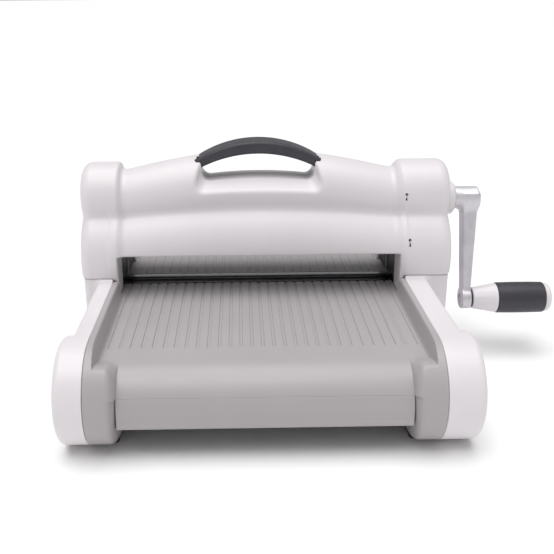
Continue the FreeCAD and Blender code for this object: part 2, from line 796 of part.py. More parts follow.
def tower():
    opening_top = dim("opening_top")
    opening = dim("opening_half")
    seam = dim("seam_z")
    outer = bridge(0, opening_top, ARCH_HALF + 4)
    inner = bridge(wall, opening_top - 8, ARCH_HALF + 6).cut(hand_gap(wall))
    wall_inner = opening + wall
    for side in (-1, 1):
        outer = outer.fuse(column(side, 0))
        hollow = column(side, wall)
        low_wall = box((0, side * wall_inner), (-BIG, BIG), (0, opening_top + wall))
        inner = inner.fuse(hollow.cut(low_wall))
    feed = box((-opening, opening), (-BIG, BIG), (0, opening_top))
    shell = outer.cut(feed).cut(inner)
    shell = shell.cut(box((-BIG, BIG), (-BIG, BIG), (-20, seam)))
    for side in (-1, 1):
        cheek = box((side * opening, side * wall_inner), (-foot_half, foot_half),
                    (deck_z + dim("gap"), opening_top + 1))
        shell = shell.fuse(cheek)
        notch = dim("plate_neck") + 0.4
        shell = shell.cut(box((side * (opening - 1), side * (wall_inner + 4)), (-notch, notch),
                              (0, opening_top + wall + 3)))
    shell = shell.cut(hand_gap(0)).cut(grip_shape).cut(core_shape)
    crank_hole = x_bar(dim("shaft_radius") + 1.5, (dim("right_column") - 10, 200), 0, crank_z)
    return shell.cut(crank_hole)


foot_half = dim("foot_half") - 0.6
core_shape = handle_core()
grip_shape = grip_envelope()
tower_shell = tower()
front_half = box((-BIG, BIG), (-BIG, 0), (-BIG, BIG))
rear_half = box((-BIG, BIG), (0, BIG), (-BIG, BIG))
clip_slots = join([box((122, 123.4), (-60, 0), (139.5, 146.0)),
                   box((124, 125.4), (-60, 0), (104.0, 110.5))])
keep_shape(tower_shell.common(front_half).cut(clip_slots), "front_housing")
keep_shape(tower_shell.common(rear_half), "rear_housing")
keep_shape(core_shape, "handle_core")
keep_shape(grip_shape.cut(core_shape), "handle_grip")

# ---- crank -------------------------------------------------------------------------------------

SHAFT_STEP = "dim.drive_gear_x - 1"
SHAFT_END = "dim.hub_end - 4"
keep(turned("crank_shaft", [("dim.stub_radius", "dim.plate_inner", SHAFT_STEP),
                            ("dim.shaft_radius", SHAFT_STEP, SHAFT_END)], "0", CRANK_AXIS),
     "crank_shaft")

COLLAR_RADIUS = 14.4
collar_shape = disc(COLLAR_RADIUS, dim("right_column"), dim("hub_start") - 0.6, 0, crank_z,
                    far_rim=2.0)
collar_bore = x_bar(dim("shaft_radius") + 0.5, (dim("right_column") - 1, dim("hub_start")), 0, crank_z)
collar_shape = collar_shape.cut(collar_bore)
keep_shape(collar_shape, "shaft_collar")

ARM_INNER = 176.5
ARM_OUTER = (189.6, 183.2)
ARM_HALF = (7.5, 6.0)
SCREW_HEAD = 4.6
SCREW_SEAT = dim("hub_end") - 2.6


def tilt(shape):
    """Swing a crank piece from straight down to its resting angle."""
    swung = shape.copy()
    swung.rotate(Vector(0, 0, crank_z), Vector(1, 0, 0), -dim("crank_tilt"))
    return swung


def arm_section(z, outer, half):
    points = [Vector(ARM_INNER, -half, z), Vector(outer, -half, z),
              Vector(outer, half, z), Vector(ARM_INNER, half, z)]
    return Part.makePolygon(points + points[:1])


def crank_arm():
    end_z = crank_z - dim("crank_radius")
    arm = Part.makeLoft([arm_section(crank_z - 2, ARM_OUTER[0], ARM_HALF[0]),
                         arm_section(end_z, ARM_OUTER[1], ARM_HALF[1])], True, True)
    long_edges = [edge for edge in arm.Edges if edge.BoundBox.ZLength > 80]
    arm = arm.makeFillet(1.2, long_edges)
    hub = disc(dim("hub_radius"), dim("hub_start"), dim("hub_end"), 0, crank_z, 0.5, 1.6)
    boss = disc(dim("boss_radius"), ARM_INNER - 0.5, dim("boss_end"), 0, end_z, 1.0, 0.5)
    body = join([arm, hub, boss])
    bores = [x_bar(dim("shaft_radius"), (dim("hub_start") - 1, size(SHAFT_END)), 0, crank_z),
             x_bar(size(SCREW_RADIUS), (dim("hub_start"), dim("hub_end")), 0, crank_z),
             x_bar(SCREW_HEAD + 0.2, (SCREW_SEAT, dim("hub_end") + 1), 0, crank_z),
             x_bar(dim("stub_radius"), (ARM_INNER - 1, dim("boss_end") + 1), 0, end_z)]
    for bore in bores:
        body = body.cut(bore)
    return body


keep_shape(tilt(crank_arm()), "crank_arm")
crank_screw_shape = disc(SCREW_HEAD, SCREW_SEAT, dim("hub_end") - 0.3, 0, crank_z, 0, 0.6)
crank_screw_shape = crank_screw_shape.fuse(
    x_bar(size(SCREW_RADIUS), (size(SHAFT_END), SCREW_SEAT + 1), 0, crank_z))
keep_shape(crank_screw_shape.removeSplitter(), "crank_screw")

pin_z = crank_z - dim("crank_radius")
HEAD_END = dim("grip_end") - 0.7
HEAD_START = HEAD_END - 3.5
stem = x_bar(dim("stub_radius"), (ARM_INNER, HEAD_START + 1), 0, pin_z)
keep_shape(tilt(stem.fuse(x_bar(6.5, (HEAD_START, HEAD_END), 0, pin_z)).removeSplitter()),
           "knob_spindle")
washer = x_bar(7.6, (dim("boss_end"), dim("knob_start") - dim("gap")), 0, pin_z)
keep_shape(tilt(washer.cut(stem)), "knob_washer")

SLEEVE_RADIUS = 9.5
cone = Part.makeCone(dim("boss_radius"), dim("knob_radius") - 0.7,
                     dim("cone_end") - dim("knob_start"),
                     Vector(dim("knob_start"), 0, pin_z), Vector(1, 0, 0))
core = cone.fuse(x_bar(SLEEVE_RADIUS, (dim("cone_end"), HEAD_START - 0.4), 0, pin_z))
knob_bore = x_bar(dim("stub_radius") + dim("running_gap"), (dim("boss_end"), dim("knob_end")), 0,
                  pin_z)
core = core.removeSplitter().cut(knob_bore)
keep_shape(tilt(core), "knob_core")
sleeve = disc(dim("knob_radius"), dim("cone_end"), dim("grip_end"), 0, pin_z, 0.8, 0.8)
sleeve_bore = x_bar(SLEEVE_RADIUS, (dim("boss_end"), dim("knob_end")), 0, pin_z)
keep_shape(tilt(sleeve.cut(sleeve_bore)), "knob_grip")
keep_shape(tilt(disc(dim("knob_radius") - 0.9, dim("grip_end"), dim("knob_end"), 0, pin_z, 0, 2.5)),
           "knob_cap")

# ---- check and write ---------------------------------------------------------------------------

doc.recompute()
for feature in doc.Objects:
    if "Invalid" in feature.State or "Error" in feature.State:
        raise RuntimeError(f"{feature.Label} failed: {feature.State}")
for feature in subparts:
    shape = feature.Shape
    if shape.isNull() or not shape.isValid() or not shape.Solids:
        raise RuntimeError(f"{feature.Label} has no sound solid")
    shape.exportStep(f"parts/{feature.Label}.step")
    bounds = shape.optimalBoundingBox(False, False)
    print(f"{feature.Label:26s} solids {len(shape.Solids):2d}  volume {shape.Volume:10.0f}"
          f"  x {bounds.XMin:7.1f} {bounds.XMax:7.1f}  y {bounds.YMin:7.1f} {bounds.YMax:7.1f}"
          f"  z {bounds.ZMin:6.1f} {bounds.ZMax:6.1f}")
print(f"{len(subparts)} sub-parts")
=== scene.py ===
import json
import math

import bpy
import numpy as np
import openvdb
from mathutils import Matrix, Vector


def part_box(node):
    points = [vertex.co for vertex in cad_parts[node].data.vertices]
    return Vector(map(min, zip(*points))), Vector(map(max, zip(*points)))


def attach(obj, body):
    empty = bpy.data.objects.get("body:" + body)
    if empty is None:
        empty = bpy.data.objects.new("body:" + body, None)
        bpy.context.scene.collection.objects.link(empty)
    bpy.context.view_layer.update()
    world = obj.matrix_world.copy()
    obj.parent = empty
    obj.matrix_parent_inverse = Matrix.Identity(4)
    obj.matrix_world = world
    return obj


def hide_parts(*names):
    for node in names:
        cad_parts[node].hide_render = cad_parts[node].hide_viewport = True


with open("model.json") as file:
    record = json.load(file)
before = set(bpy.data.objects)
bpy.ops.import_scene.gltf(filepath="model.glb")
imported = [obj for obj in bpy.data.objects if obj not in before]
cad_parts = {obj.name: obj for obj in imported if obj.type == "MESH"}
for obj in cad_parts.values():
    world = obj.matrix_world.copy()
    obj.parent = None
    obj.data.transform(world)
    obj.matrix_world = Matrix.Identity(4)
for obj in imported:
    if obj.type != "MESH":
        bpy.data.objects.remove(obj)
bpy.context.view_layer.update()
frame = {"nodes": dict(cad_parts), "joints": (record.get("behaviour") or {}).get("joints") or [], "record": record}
NODES = frame["nodes"]

# Shapes below are written in millimetres about the machine's own middle: X = 0 halfway between the
# two frame plates, Y = 0 on the roller axes, Z = 0 on the table.
MM = 0.001
TRAY_LOW, TRAY_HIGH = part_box("front_tray")
MIDDLE = (TRAY_LOW.x + TRAY_HIGH.x) / 2 / MM


def span(node):
    """Lowest and highest corner of a CAD node in the machine's millimetres."""
    low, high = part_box(node)
    shift = np.array((MIDDLE, 0, 0))
    return np.array(low) / MM - shift, np.array(high) / MM - shift


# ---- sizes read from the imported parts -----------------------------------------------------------

tray_high = span("front_tray")[1]
left_low, left_high = span("left_side_cover")
right_low, right_high = span("right_side_cover")
house_low, house_high = span("front_housing")
nose_low, nose_high = span("front_nose_cover")
grip_low, grip_high = span("handle_grip")

JOINTS = {joint["name"]: np.array(joint["pos_m"]) / MM for joint in frame["joints"]}
HUB_Z = JOINTS["crank_turn"][2]
PIN_Y, PIN_Z = JOINTS["knob_spin"][1:]
DRUM_Y = 154.6
DRUM_R = (left_high[1] - left_low[1]) / 2 - DRUM_Y
DRUM_Z = 38.6
DECK_Z = 62.5
RAIL_TOP = tray_high[2]
TRAY_HALF = tray_high[0]
SEAM_Z = left_high[2]
NOSE_TOP = nose_high[2]
NOSE_BOTTOM = nose_low[2]
COLLAR = nose_high[0]

# ---- mesh helpers -------------------------------------------------------------------------------


def smin(a, b, k):
    """Smooth union of two distance fields."""
    h = np.maximum(k - np.abs(a - b), 0) / k
    return np.minimum(a, b) - h * h * k * 0.25


def smax(a, b, k):
    return -smin(-a, -b, k)


def bar_along_x(x, out, near, far, near_rim, far_rim):
    """Distance to a bar along X, from the distance to its section, with two rounded rims."""
    low, high = min(near, far), max(near, far)
    low_rim, high_rim = (near_rim, far_rim) if near < far else (far_rim, near_rim)
    middle = (low + high) / 2
    rim = np.where(x < middle, low_rim, high_rim)
    across = np.abs(x - middle) - (high - low) / 2
    u, v = across + rim, out + rim
    return np.hypot(np.maximum(u, 0), np.maximum(v, 0)) + np.minimum(np.maximum(u, v), 0) - rim


def disc(x, y, z, near, far, radius, cy, cz, near_rim, far_rim):
    out = np.hypot(y - cy, z - cz) - radius
    return bar_along_x(x, out, near, far, near_rim, far_rim)


def round_box(x, y, z, low, high, rim):
    q = []
    for value, a, b in zip((x, y, z), low, high):
        q.append(np.abs(value - (a + b) / 2) - (b - a) / 2 + rim)
    outside = np.sqrt(sum(np.maximum(each, 0) ** 2 for each in q))
    return outside + np.minimum(np.maximum(np.maximum(q[0], q[1]), q[2]), 0) - rim


def gradient(field, p):
    step = 0.04
    result = np.empty_like(p)
    for axis in range(3):
        shift = np.zeros(3)
        shift[axis] = step
        a, b = p + shift, p - shift
        result[:, axis] = (field(*a.T) - field(*b.T)) / (2 * step)
    return result


def to_mesh(name, points, faces, normals=None, smooth=True):
    """Object from points in the machine's millimetres."""
    mesh = bpy.data.meshes.new(name)
    mesh.from_pydata(((points + (MIDDLE, 0, 0)) * MM).tolist(), [], [tuple(f) for f in faces])
    mesh.polygons.foreach_set("use_smooth", [smooth] * len(mesh.polygons))
    mesh.update()
    if normals is not None:
        mesh.normals_split_custom_set(normals)
    piece = bpy.data.objects.new(name, mesh)
    bpy.context.scene.collection.objects.link(piece)
    return piece


def contour(name, field, low, high, step):
    """Closed mesh of the surface where field(x, y, z) is 0; the field is negative inside."""
    axes = [np.arange(low[i] - 2.5 * step, high[i] + 3 * step, step) for i in range(3)]
    values = np.empty([len(a) for a in axes], np.float32)
    for start in range(0, len(axes[0]), 24):
        part = slice(start, start + 24)
        values[part] = field(axes[0][part, None, None], axes[1][None, :, None],
                             axes[2][None, None, :])
    grid = openvdb.FloatGrid(3.0)
    grid.copyFromArray(np.clip(values / step, -3, 3).astype(np.float32))
    points, quads = grid.convertToQuads(isovalue=0.0)
    origin = np.array([a[0] for a in axes])
    points = points.astype(float) * step + origin
    for _ in range(4):
        value = field(*points.T)
        slope = gradient(field, points)
        length = np.maximum((slope**2).sum(1), 0.2)
        points -= np.clip(value / length, -0.4 * step, 0.4 * step)[:, None] * slope
    quads = quads.astype(int)
    corners = points[quads]
    facing = np.cross(corners[:, 2] - corners[:, 0], corners[:, 3] - corners[:, 1])
    middle = corners.mean(1)
    if (facing * gradient(field, middle)).sum() < 0:
        quads = quads[:, ::-1]
        corners = points[quads]
    near = corners * 0.72 + middle[:, None, :] * 0.28
    normals = gradient(field, near.reshape(-1, 3))
    normals /= np.maximum(np.linalg.norm(normals, axis=1), 1e-9)[:, None]
    return to_mesh(name, points, quads, normals)


def lathe(name, profile, y, z, around=96, wave=None):
    """Turned piece along X from (x, radius) pairs. A radius of 0 closes an end; with none, the
    profile is a loop and the piece a ring. wave(x, radius, angle) adds to the radius."""
    angles = np.arange(around) * 2 * math.pi / around
    points = []
    rings = []
    for x, r in profile:
        if r == 0:
            rings.append([len(points)])
            points.append((x, y, z))
            continue
        radius = np.full(around, float(r))
        if wave is not None:
            radius = radius + wave(x, r, angles)
        rings.append(list(range(len(points), len(points) + around)))
        points += [(x, y + a, z + b) for a, b in zip(radius * np.sin(angles),
                                                      radius * np.cos(angles))]
    pairs = list(zip(rings, rings[1:]))
    if len(rings[0]) > 1:
        pairs.append((rings[-1], rings[0]))
    faces = []
    for one, two in pairs:
        for k in range(around):
            m = (k + 1) % around
            if len(one) == 1:
                faces.append((one[0], two[m], two[k]))
            elif len(two) == 1:
                faces.append((one[k], one[m], two[0]))
            else:
                faces.append((one[k], one[m], two[m], two[k]))
    piece = to_mesh(name, np.array(points), faces)
    return crisp(piece, 40)


def crisp(piece, angle):
    """Edges sharper than an angle stay crisp, and large faces lead the shading of small ones."""
    piece.data.set_sharp_from_angle(angle=math.radians(angle))
    modifier = piece.modifiers.new("face_weight", "WEIGHTED_NORMAL")
    modifier.keep_sharp = True
    modifier.weight = 70
    bpy.context.view_layer.update()
    evaluated = piece.evaluated_get(bpy.context.evaluated_depsgraph_get())
    mesh = bpy.data.meshes.new_from_object(evaluated)
    piece.modifiers.clear()
    old, piece.data = piece.data, mesh
    bpy.data.meshes.remove(old)
    mesh.name = piece.name
    return piece


def arc(cx, cy, radius, start, end, count):
    """Points on an arc, angles in degrees."""
    turns = np.radians(np.linspace(start, end, count))
    return [(cx + radius * math.cos(a), cy + radius * math.sin(a)) for a in turns]


def half_turn(piece, name):
    """Copy of a piece turned half round the machine's vertical axis."""
    mesh = piece.data.copy()
    mesh.name = name
    copy = bpy.data.objects.new(name, mesh)
    bpy.context.scene.collection.objects.link(copy)
    about = Matrix.Translation((MIDDLE * MM, 0, 0))
    mesh.transform(about @ Matrix.Rotation(math.pi, 4, "Z") @ about.inverted())
    return copy


# ---- materials ----------------------------------------------------------------------------------


class Surface:
    """Principled material with its pattern nodes, all in object coordinates."""

    def __init__(self, name, colour, roughness, **sockets):
        self.material = bpy.data.materials.new(name)
        self.material.use_nodes = True
        self.tree = self.material.node_tree
        self.shader = self.tree.nodes["Principled BSDF"]
        self.shader.inputs["Base Color"].default_value = (*colour, 1)
        self.shader.inputs["Roughness"].default_value = roughness
        for socket, value in sockets.items():
            self.shader.inputs[socket.replace("_", " ")].default_value = value
        self.coordinates = self.node("ShaderNodeTexCoord").outputs["Object"]
        self.height = None

    def node(self, kind, **values):
        node = self.tree.nodes.new(kind)
        for key, value in values.items():
            setattr(node, key, value)
        return node

    def link(self, a, b):
        self.tree.links.new(a, b)

    def stretched(self, scale):
        mapping = self.node("ShaderNodeMapping")
        mapping.inputs["Scale"].default_value = scale
        self.link(self.coordinates, mapping.inputs["Vector"])
        return mapping.outputs["Vector"]

    def noise(self, scale, detail=3.0, stretch=(1, 1, 1), roughness=0.55):
        texture = self.node("ShaderNodeTexNoise")
        texture.inputs["Scale"].default_value = scale
        texture.inputs["Detail"].default_value = detail
        texture.inputs["Roughness"].default_value = roughness
        self.link(self.stretched(stretch), texture.inputs["Vector"])
        return texture.outputs["Fac"]

    def ramp(self, factor, low, high, start, end):
        """Map a factor from low..high to start..end."""
        node = self.node("ShaderNodeMapRange")
        node.inputs["From Min"].default_value = low
        node.inputs["From Max"].default_value = high
        node.inputs["To Min"].default_value = start
        node.inputs["To Max"].default_value = end
        self.link(factor, node.inputs["Value"])
        return node.outputs["Result"]

    def colours(self, factor, *stops):
        """Base colour from stops of (place, colour)."""
        node = self.node("ShaderNodeValToRGB")
        while len(node.color_ramp.elements) < len(stops):
            node.color_ramp.elements.new(0.5)
        for element, (place, colour) in zip(node.color_ramp.elements, stops):
            element.position = place
            element.color = (*colour, 1)
        self.link(factor, node.inputs["Fac"])
        self.link(node.outputs["Color"], self.shader.inputs["Base Color"])

    def rough(self, factor, low, high, start, end):
        self.link(self.ramp(factor, low, high, start, end), self.shader.inputs["Roughness"])

    def bump(self, factor, distance, strength=1.0):
        node = self.node("ShaderNodeBump")
        node.inputs["Distance"].default_value = distance
        node.inputs["Strength"].default_value = strength
        self.link(factor, node.inputs["Height"])
        if self.height is not None:
            self.link(self.height, node.inputs["Normal"])
        self.height = node.outputs["Normal"]
        self.link(self.height, self.shader.inputs["Normal"])


def tint(colour, amount):
    return tuple(min(1.0, each * amount) for each in colour)


def moulded(name, colour, roughness, grain_depth, specular=0.5):
    """Moulded plastic: faint flow mottling, a fine spark-eroded grain and a little handling wear."""
    surface = Surface(name, colour, roughness, Specular_IOR_Level=specular)
    flow = surface.noise(14, 4)
    surface.colours(flow, (0.25, tint(colour, 0.965)), (0.55, colour), (0.8, tint(colour, 1.02)))
    wear = surface.noise(55, 6, roughness=0.65)
    surface.rough(wear, 0.3, 0.72, roughness - 0.05, roughness + 0.07)
    surface.bump(surface.noise(1900, 2), grain_depth)
    surface.bump(surface.noise(26, 2), 0.00012)
    return surface.material


def rubber(name, colour, roughness):
    surface = Surface(name, colour, roughness, Specular_IOR_Level=0.35)
    dust = surface.noise(95, 6, roughness=0.7)
    surface.colours(dust, (0.3, tint(colour, 0.86)), (0.55, colour), (0.78, tint(colour, 1.25)))
    surface.rough(surface.noise(160, 4), 0.3, 0.7, roughness - 0.08, roughness + 0.08)
    surface.bump(surface.noise(1500, 3), 0.00009)
    return surface.material


def metal(name, colour, roughness, stretch, scratch=0.00002, metallic=1.0):
    """Machined or cast metal, with fine lines along one direction and a soft stain."""
    surface = Surface(name, colour, roughness, Metallic=metallic)
    stain = surface.noise(70, 5)
    surface.colours(stain, (0.28, tint(colour, 0.84)), (0.55, colour), (0.8, tint(colour, 1.08)))
    lines = surface.noise(900, 3, stretch)
    surface.rough(lines, 0.3, 0.7, roughness - 0.06, roughness + 0.1)
    surface.bump(lines, scratch)
    return surface.material


WHITE = (0.765, 0.73, 0.752)
GREY = (0.415, 0.39, 0.399)
MATERIALS = {
    "white_shell": moulded("white_shell", WHITE, 0.36, 0.00002),
    "grey_tray": moulded("grey_tray", GREY, 0.36, 0.00003),
    "dark_grip": rubber("dark_grip", (0.052, 0.049, 0.059), 0.42),
    "core_plastic": moulded("core_plastic", (0.10, 0.10, 0.105), 0.5, 0.00003),
    "black_steel": metal("black_steel", (0.018, 0.018, 0.02), 0.42, (1, 1, 0.15), metallic=0.6),
    "black_roller": metal("black_roller", (0.30, 0.30, 0.31), 0.16, (0.02, 1, 1), metallic=1.0),
    "plain_steel": metal("plain_steel", (0.56, 0.56, 0.57), 0.3, (0.05, 1, 1)),
    "screw_steel": metal("screw_steel", (0.62, 0.62, 0.63), 0.26, (1, 1, 1)),
    "gear_steel": metal("gear_steel", (0.42, 0.42, 0.43), 0.34, (0.1, 1, 1)),
    "bronze": metal("bronze", (0.62, 0.40, 0.19), 0.34, (0.2, 1, 1)),
    "crank_silver": metal("crank_silver", (0.68, 0.66, 0.70), 0.38, (1, 1, 0.35), 0.00001,
                          metallic=0.45),
    "black_washer": rubber("black_washer", (0.02, 0.02, 0.022), 0.45),
    "white_knob": moulded("white_knob", WHITE, 0.34, 0.00002),
    "foot_rubber": rubber("foot_rubber", (0.03, 0.03, 0.032), 0.7),
}


def paint(piece, slot):
    piece.data.materials.clear()
    piece.data.materials.append(MATERIALS[slot])
    return piece


def stand_for(piece, body, slot, *nodes):
    """The piece replaces CAD nodes and moves with their body."""
    paint(piece, slot)
    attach(piece, body)
    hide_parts(*nodes)
    return piece


for part in frame["record"]["subparts"]:
    paint(NODES[part["node"]], part["material_slot"])

# ---- tower housing ------------------------------------------------------------------------------

ARCH_HALF = 116.0
BRIDGE_FRONT = 41.0
OPENING_TOP = 97.0
OPENING_HALF = 117.3
COVER_INNER = 121.7
WALL = 3.0


def bridge(x, y, z):
    """Two round lobes with a crease between them, arched along X."""
    arch = np.cos(math.pi * np.clip(x, -ARCH_HALF, ARCH_HALF) / (2 * ARCH_HALF))
    crease_y = 21.3 + 2.7 * arch
    crease_z = 126.5 + 7.0 * arch
    top = 161.0 + 17.0 * arch
    low_z = (crease_z**2 - OPENING_TOP**2 + crease_y**2 - BRIDGE_FRONT**2) / (
        2 * (crease_z - OPENING_TOP))
    high_z = (top**2 - crease_z**2 - crease_y**2) / (2 * (top - crease_z))
    low = np.hypot(y, z - low_z) - np.hypot(BRIDGE_FRONT, OPENING_TOP - low_z)
    high = np.hypot(y, z - high_z) - (top - high_z)
    return smax(smin(low, high, 5.0), np.abs(x) - ARCH_HALF - 4.0, 0.5)


LOW_LOBE_Z, LOW_LOBE_R = 90.3, 44.75
HIGH_LOBE_Z, HIGH_LOBE_R = 140.5, 28.0
COLUMN_RIM = 9.0
# the right column's inner edge is chamfered wide, the left one's is nearly sharp
RIGHT_EDGE, RIGHT_EDGE_RIM = 116.6, 6.5
LEFT_EDGE, LEFT_EDGE_RIM = -116.0, 3.0


def column(x, y, z, outer):
    """Column at one end: a small drum above a large one."""
    near, near_rim = (RIGHT_EDGE, RIGHT_EDGE_RIM) if outer > 0 else (LEFT_EDGE, LEFT_EDGE_RIM)
    low = np.hypot(y, z - LOW_LOBE_Z) - LOW_LOBE_R
    high = np.hypot(y, z - HIGH_LOBE_Z) - HIGH_LOBE_R
    return bar_along_x(x, smin(low, high, 5.0), near, outer, near_rim, COLUMN_RIM)


def finger_gap(x, y, z):
    """Opening under the handle, flared towards the front and the back."""
    flare = np.clip((np.abs(y) - 15.0) / 17.0, 0, 1)
    half = 47.5 + 7.5 * flare
    floor = 157.2 - 9.8 * flare - 3.0 * (x / half) ** 2
    u = np.abs(x) - half + 8.0
    v = floor - z + 8.0
    corner = np.hypot(np.maximum(u, 0), np.maximum(v, 0)) + np.minimum(np.maximum(u, v), 0) - 8.0
    return corner


def circle_through(half, low, middle):
    """Centre height and radius of the arc through (-half, low), (0, middle) and (half, low)."""
    rise = middle - low
    radius = (half**2 + rise**2) / (2 * rise)
    return middle - radius, radius


GRIP_TOP = grip_high[2]
GRIP_UNDER = GRIP_TOP - 10.4
GRIP_HALF = 52.5
GRIP_FOOT = 47.8
END_HIGH = GRIP_TOP - 15.9
END_LOW = GRIP_UNDER - 11.4
END_SLOPE = (GRIP_HALF - GRIP_FOOT) / (END_HIGH - END_LOW)
TOP_Z, TOP_R = circle_through(GRIP_HALF, END_HIGH, GRIP_TOP)
UNDER_Z, UNDER_R = circle_through(GRIP_FOOT, END_LOW, GRIP_UNDER)


def grip(x, y, z):
    """Arched rubber grip with sloping ends."""
    above = np.hypot(x, z - TOP_Z) - TOP_R
    below = UNDER_R - np.hypot(x, z - UNDER_Z)
    end = (np.abs(x) - GRIP_HALF) - (z - END_HIGH) * END_SLOPE
    section = smax(above, np.abs(y) - 13.0, 4.0)
    section = smax(section, below, 2.0)
    return smax(section, end / math.hypot(1, END_SLOPE), 0.6)


def tower(x, y, z):
    outer = smin(bridge(x, y, z), column(x, y, z, house_low[0]), 6.0)
    outer = smin(outer, column(x, y, z, house_high[0]), 6.0)
    gap = finger_gap(x, y, z)
    inner = np.maximum(outer + WALL, WALL - gap)
    low_wall = np.maximum(np.abs(x) - OPENING_HALF - WALL, z - OPENING_TOP - WALL)
    inner = np.maximum(inner, np.where(np.abs(x) > OPENING_HALF, -low_wall, -1e3))
    feed = np.maximum(np.abs(x) - OPENING_HALF, z - OPENING_TOP)
    shell = smax(outer, -gap, 3.0)
    shell = smax(shell, -feed, 1.6)
    shell = np.maximum(shell, -inner)
    shell = np.maximum(shell, -(grip(x, y, z) - 0.25))
    above_rail = np.maximum(np.abs(x) - COVER_INNER + 0.1, RAIL_TOP + 0.1 - z)
    shell = np.maximum(shell, np.minimum(SEAM_Z + 0.05 - z, above_rail))
    cheek = np.maximum(np.abs(np.abs(x) - OPENING_HALF - WALL / 2) - WALL / 2,
                       np.maximum(np.abs(y) - 42.7, np.abs(z - 80.5) - 17.7))
    shell = np.minimum(shell, cheek)
    notch = np.maximum(np.abs(np.abs(x) - OPENING_HALF - 2.5) - 4.5,
                       np.maximum(np.abs(y) - 20.4, z - OPENING_TOP - 6))
    return np.maximum(shell, -notch)


def front_tower(x, y, z):
    return smax(tower(x, y, z), y + 0.08, 0.9)


def rear_tower(x, y, z):
    return smax(tower(x, y, z), 0.08 - y, 0.9)


HOUSE_STEP = 1.2
front = contour("housing_front", front_tower, (house_low[0], -45.2, 61.5),
                (house_high[0], 0, 180), HOUSE_STEP)
stand_for(front, "frame", "white_shell", "front_housing")
rear = contour("housing_rear", rear_tower, (house_low[0], 0, 61.5),
               (house_high[0], 45.2, 180), HOUSE_STEP)
stand_for(rear, "frame", "white_shell", "rear_housing")

# ---- handle -------------------------------------------------------------------------------------

handle = contour("handle_sleeve", grip, grip_low, grip_high, 0.8)
stand_for(handle, "frame", "dark_grip", "handle_grip")

# ---- side covers --------------------------------------------------------------------------------


def side_cover(side, low, high):
    inner = COVER_INNER
    outer = high[0] if side > 0 else -low[0]
    flank = {1: 140.0, -1: 134.5}[side]
    drum = {1: 148.5, -1: 142.5}[side]
    rim = 5.0

    def form(x, y, z, inset):
        across = x * side
        start = inner - 30.0
        slab = round_box(across, y, z, (start, -DRUM_Y, DRUM_Z - DRUM_R),
                         (flank, DRUM_Y, DRUM_Z + DRUM_R), 3.0)
        result = slab
        for way in (-1, 1):
            end = disc(across, y, z, start, drum, DRUM_R, way * DRUM_Y, DRUM_Z, 0.1, rim)
            result = smin(result, end, 1.5)
        block = round_box(across, y, z, (start, -43.3, DRUM_Z - DRUM_R), (outer, 43.3, SEAM_Z + 30),
                          7.0)
        result = smin(result, block, 6.0)
        result = smax(result, DRUM_Z - DRUM_R - z, 0.8)
        return result + inset

    def field(x, y, z):
        shell = smax(form(x, y, z, 0.0), inner - x * side, 0.8)
        shell = np.maximum(shell, z - SEAM_Z)
        return np.maximum(shell, -form(x, y, z, WALL))

    return field


COVER_STEP = 1.3
left_cover = contour("left_cover", side_cover(-1, left_low, left_high), left_low, left_high,
                     COVER_STEP)
stand_for(left_cover, "frame", "white_shell", "left_side_cover")
right_cover = contour("right_cover", side_cover(1, right_low, right_high), right_low, right_high,
                      COVER_STEP)
stand_for(right_cover, "frame", "white_shell", "right_side_cover")

# ---- trays --------------------------------------------------------------------------------------

GROOVES = 29
PITCH = 7.92
GROOVE_HALF = 1.1
GROOVE_DEEP = 0.8
GROOVE_END = -139.5
NOSE_Y = -156.0
NOSE_Z = 32.5
NOSE_R = 30.0
TOWER_FRONT = -44.2
DECK_HALF = 117.4
SHOULDER = 100.7
COLLAR_EDGE = 107.2


def smooth(a, b, value):
    t = np.clip((value - a) / (b - a), 0, 1)
    return t * t * (3 - 2 * t)


RAIL = np.array([(112.4, 0.0), (113.2, 0.12), (113.9, 0.45), (114.5, 1.1), (115.0, 2.2), (115.4, 3.8),
                 (115.8, 6.0), (116.3, 9.2), (116.7, 11.6), (117.0, 13.0), (117.35, 13.85),
                 (117.8, 14.3), (118.4, 14.45), (121.4, 14.5)])


def rail(x):
    """Height of the rails over the deck: a steep wall with a soft foot and a rounded top edge."""
    share = np.interp(np.abs(x), RAIL[:, 0], RAIL[:, 1]) / RAIL[-1, 1]
    return (RAIL_TOP - DECK_Z) * share


def groove(x, y):
    number = np.clip(np.round(x / PITCH), -(GROOVES // 2), GROOVES // 2)
    along = np.maximum(GROOVE_END + GROOVE_HALF - y, 0)
    edge = np.hypot(x - number * PITCH, along) - GROOVE_HALF
    return GROOVE_DEEP * (1 - smooth(-0.32, 0.12, edge))


def nose_reach(turn):
    """Distance from the drum centre to the nose, at an angle from straight up towards the front."""
    s, c = np.sin(turn), np.cos(turn)
    # the drum centre as seen from the nose's centre
    oy, oz = -DRUM_Y - NOSE_Y, DRUM_Z - NOSE_Z
    b = -oy * s + oz * c
    on_arc = -b + np.sqrt(np.maximum(b * b - (oy**2 + oz**2 - NOSE_R**2), 0))
    on_deck = (DECK_Z - DRUM_Z) / np.maximum(c, 1e-3)
    past = on_deck * s > -NOSE_Y - DRUM_Y
    return np.where(past, on_arc, on_deck)


def collar_reach(turn, height):
    on_top = (height - DRUM_Z) / np.maximum(np.cos(turn), 1e-3)
    return smin(np.full_like(on_top, DRUM_R), np.where(np.cos(turn) > 0.05, on_top, 1e3), 1.2)


SEAM_TURN = math.atan2(NOSE_R * math.cos(math.asin((NOSE_TOP + 0.1 - NOSE_Z) / NOSE_R))
                       - NOSE_Y - DRUM_Y, NOSE_TOP + 0.1 - DRUM_Z)


